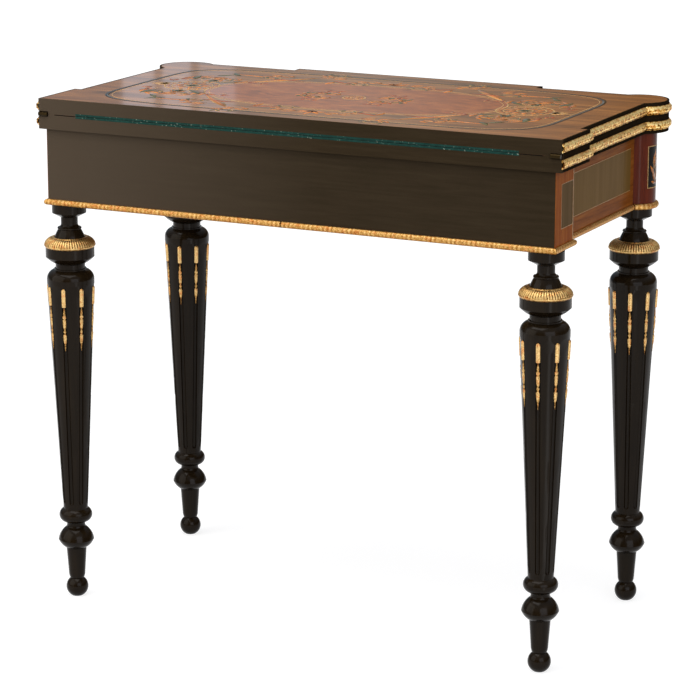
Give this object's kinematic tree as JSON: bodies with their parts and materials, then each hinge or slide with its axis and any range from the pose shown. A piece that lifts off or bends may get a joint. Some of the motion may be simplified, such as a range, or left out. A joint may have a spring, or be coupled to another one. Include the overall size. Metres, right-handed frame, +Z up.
{
  "type": "games table",
  "caption": "Fold-over games table: a hinged two-leaf top swivels a quarter turn over a frieze on turned, fluted legs with gilt mounts.",
  "frame": {"origin": "on the floor, under the middle of the closed table's box", "axes": "+Z up, +Y towards the plain back with the hinges, +X towards the right end as seen from the front"},
  "size_m": [0.856, 0.4524, 0.77],
  "materials": {
    "ebonised_wood": "ebonised fruitwood, shellac polished",
    "marquetry": "rosewood and coloured veneers, polished",
    "side_veneer": "rosewood veneer, polished",
    "panel_veneer": "dark veneer with light stringing, polished",
    "ebony_panel": "ebony veneer with light stringing, polished",
    "mahogany_column": "mahogany, polished",
    "carcase_wood": "plain oak, unpolished",
    "gilt_brass": "stamped and cast brass, gilt",
    "brass_fittings": "filed brass",
    "green_cloth": "wool baize",
    "felt": "felt slips"
  },
  "bodies": {
    "frame": {"back_rail": "ebonised_wood", "front_rail": "ebonised_wood", "left_side_rail": "side_veneer", "right_side_rail": "side_veneer", "back_left_post": "side_veneer", "back_right_post": "side_veneer", "front_left_column": "mahogany_column", "front_right_column": "mahogany_column", "well_bottom": "carcase_wood", "well_partition": "carcase_wood", "pivot_bearer": "carcase_wood", "glue_blocks": "carcase_wood", "slip_pads": "felt", "pivot_washer": "brass_fittings", "back_left_moulding": "gilt_brass", "back_right_moulding": "gilt_brass", "left_side_moulding": "gilt_brass", "right_side_moulding": "gilt_brass", "front_moulding": "gilt_brass", "left_side_panel": "panel_veneer", "right_side_panel": "panel_veneer", "post_panels": "panel_veneer", "column_panels": "ebony_panel", "front_panels": "panel_veneer", "back_left_leg": "ebonised_wood", "back_right_leg": "ebonised_wood", "front_left_leg": "ebonised_wood", "front_right_leg": "ebonised_wood", "back_left_leg_collar": "gilt_brass", "back_right_leg_collar": "gilt_brass", "front_left_leg_collar": "gilt_brass", "front_right_leg_collar": "gilt_brass", "back_left_leg_mounts": "gilt_brass", "back_right_leg_mounts": "gilt_brass", "front_left_leg_mounts": "gilt_brass", "front_right_leg_mounts": "gilt_brass"},
    "lower_top": {"lower_leaf": "ebonised_wood", "lower_baize": "green_cloth", "lower_left_band": "gilt_brass", "lower_right_band": "gilt_brass", "lower_front_band": "gilt_brass", "lower_left_hinge_plate": "brass_fittings", "lower_right_hinge_plate": "brass_fittings", "lower_hinge_screws": "brass_fittings", "hinge_pins": "brass_fittings", "pivot_plate": "brass_fittings", "pivot_bolt": "brass_fittings", "pivot_nut": "brass_fittings", "pivot_screws": "brass_fittings", "stop_peg": "brass_fittings"},
    "upper_top": {"upper_leaf": "ebonised_wood", "top_veneer": "marquetry", "upper_baize": "green_cloth", "upper_left_band": "gilt_brass", "upper_right_band": "gilt_brass", "upper_front_band": "gilt_brass", "upper_left_hinge_plate": "brass_fittings", "upper_right_hinge_plate": "brass_fittings", "upper_hinge_screws": "brass_fittings"}
  },
  "joints": [
    {"name": "top_swivel", "type": "hinge", "parent": "frame", "child": "lower_top", "pos_m": [0.108, 0.108, 0.725], "axis": [0, 0, 1], "range_deg": [0, 90]},
    {"name": "leaf_fold", "type": "hinge", "parent": "lower_top", "child": "upper_top", "pos_m": [0, 0.216, 0.7475], "axis": [-1, 0, 0], "range_deg": [0, 180]}
  ]
}
